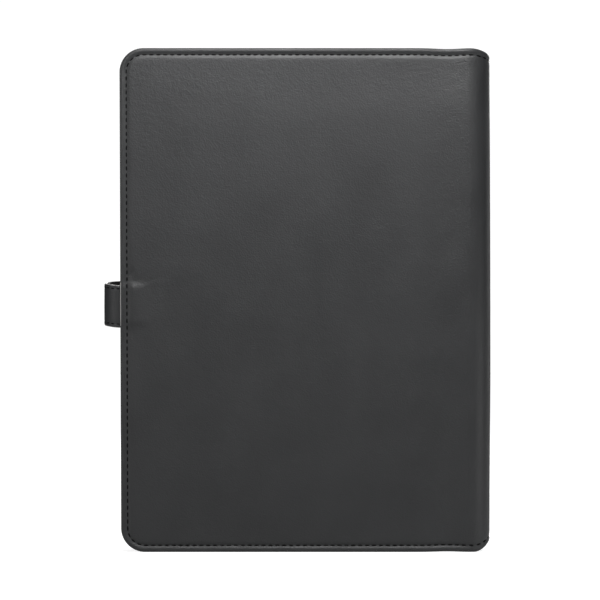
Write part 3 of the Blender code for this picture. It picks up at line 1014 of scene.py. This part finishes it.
# ---------------------------------------------------------------- snap
def make_cap():
    """The snap's domed cap with its rolled rim, turned from the profile of one side."""
    thick = CAP_HIGH.y - TAB_HIGH.y
    radius = (CAP_HIGH.x - CAP_LOW.x) / 2
    start = TAB_HIGH.y + 0.1 * MM
    profile = [(0.96, 0.0), (1.0, 0.14), (1.0, 0.30), (0.97, 0.42), (0.90, 0.46), (0.86, 0.40)]
    profile += [(0.84, 0.44)]
    profile += [(0.84 * math.cos(math.radians(a)), 0.44 + 0.52 * math.sin(math.radians(a)))
                for a in range(10, 90, 10)]
    bpy.ops.mesh.primitive_circle_add(
        vertices=64, radius=radius * profile[0][0], fill_type="NGON",
        location=(SNAP_X, start, STRAP_Z), rotation=(math.radians(-90), 0, 0),
    )
    cap = bpy.context.object
    bpy.ops.object.transform_apply(location=True, rotation=True, scale=True)
    bpy.ops.object.mode_set(mode="EDIT")
    bpy.ops.mesh.select_all(action="SELECT")
    for (before, low), (after, high) in zip(profile, profile[1:]):
        bpy.ops.mesh.extrude_region()
        bpy.ops.transform.translate(value=(0, (high - low) * thick, 0))
        ratio = after / before
        bpy.ops.transform.resize(value=(ratio, 1, ratio), center_override=(SNAP_X, start, STRAP_Z))
    bpy.ops.mesh.select_all(action="DESELECT")
    bpy.ops.mesh.select_mode(type="EDGE")
    bpy.ops.mesh.select_non_manifold()
    bpy.ops.mesh.edge_face_add()
    bpy.ops.mesh.select_mode(type="VERT")
    bpy.ops.mesh.select_all(action="SELECT")
    bpy.ops.mesh.normals_make_consistent(inside=False)
    bpy.ops.object.mode_set(mode="OBJECT")
    finish_piece(cap, "snap_button", [NICKEL], 50)
    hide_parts("snap_cap")
    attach(cap, "strap_tab")


# ---------------------------------------------------------------- notebook
LEAF_COUNT = 9
LEAF_CORNER = 6 * MM


def one_leaf(low, high, thickness):
    """One sheet of paper with its fore edge's corners rounded."""
    bpy.ops.mesh.primitive_plane_add(size=1)
    leaf = bpy.context.object
    centre_x, centre_z = (low.x + high.x) / 2, (low.z + high.z) / 2
    bpy.ops.object.mode_set(mode="EDIT")
    bpy.ops.mesh.select_all(action="SELECT")
    bpy.ops.transform.resize(value=(high.x - low.x, high.z - low.z, 1), center_override=(0, 0, 0))
    bpy.ops.object.mode_set(mode="OBJECT")
    for vertex in leaf.data.vertices:
        vertex.select = vertex.co.x < 0
    bpy.ops.object.mode_set(mode="EDIT")
    bpy.ops.mesh.select_mode(type="VERT")
    bpy.ops.mesh.bevel(offset=LEAF_CORNER, segments=8, affect="VERTICES")
    bpy.ops.mesh.select_all(action="SELECT")
    bpy.ops.mesh.extrude_region()
    bpy.ops.transform.translate(value=(0, 0, thickness))
    bpy.ops.mesh.select_all(action="SELECT")
    bpy.ops.mesh.normals_make_consistent(inside=False)
    bpy.ops.object.mode_set(mode="OBJECT")
    stand = Matrix.Translation((centre_x, low.y, centre_z)) @ Matrix.Rotation(math.pi / 2, 4, "X")
    leaf.data.transform(stand @ Matrix.Translation((0, 0, -thickness)))
    return leaf


def make_leaves():
    """Three blocks of loose sheets, none quite in line with the next."""
    blocks = (
        ("back_leaves", "back_cover"), ("middle_leaves", "leaves_middle"),
        ("front_leaves", "leaves_front"),
    )
    for number, (node, body) in enumerate(blocks):
        low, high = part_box(node)
        step = (high.y - low.y) / LEAF_COUNT
        model = one_leaf(low, high, 0.8 * step)
        leaves = []
        for i in range(LEAF_COUNT):
            wave = math.sin(2.4 * i + 1.7 * number)
            shift = (0.10 * MM * wave + 0.1 * MM, (i + 0.1) * step, 0.06 * MM * math.sin(3.1 * i))
            leaves.append(copied(model, Matrix.Translation(shift)))
        bpy.data.objects.remove(model)
        block = finish_piece(joined(leaves), node + "_sheets", [PAPER], 40)
        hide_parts(node)
        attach(block, body)


def finish_hidden_pieces():
    """Materials for the pieces whose plain shape is right."""
    finishes = {
        BOARD: ("back_board", "front_board"),
        CARD: ("notebook_back_card", "notebook_front_card"),
        CLOTH: ("notebook_binding",),
        NICKEL: ("snap_stud", "snap_rivet", "snap_socket"),
    }
    for finish, nodes in finishes.items():
        for node in nodes:
            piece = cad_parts[node]
            piece.data.materials.clear()
            piece.data.materials.append(finish)


studio()
make_skins()
make_linings()
make_sleeves()
make_felts()
make_seams()
make_strap()
make_cap()
make_leaves()
finish_hidden_pieces()
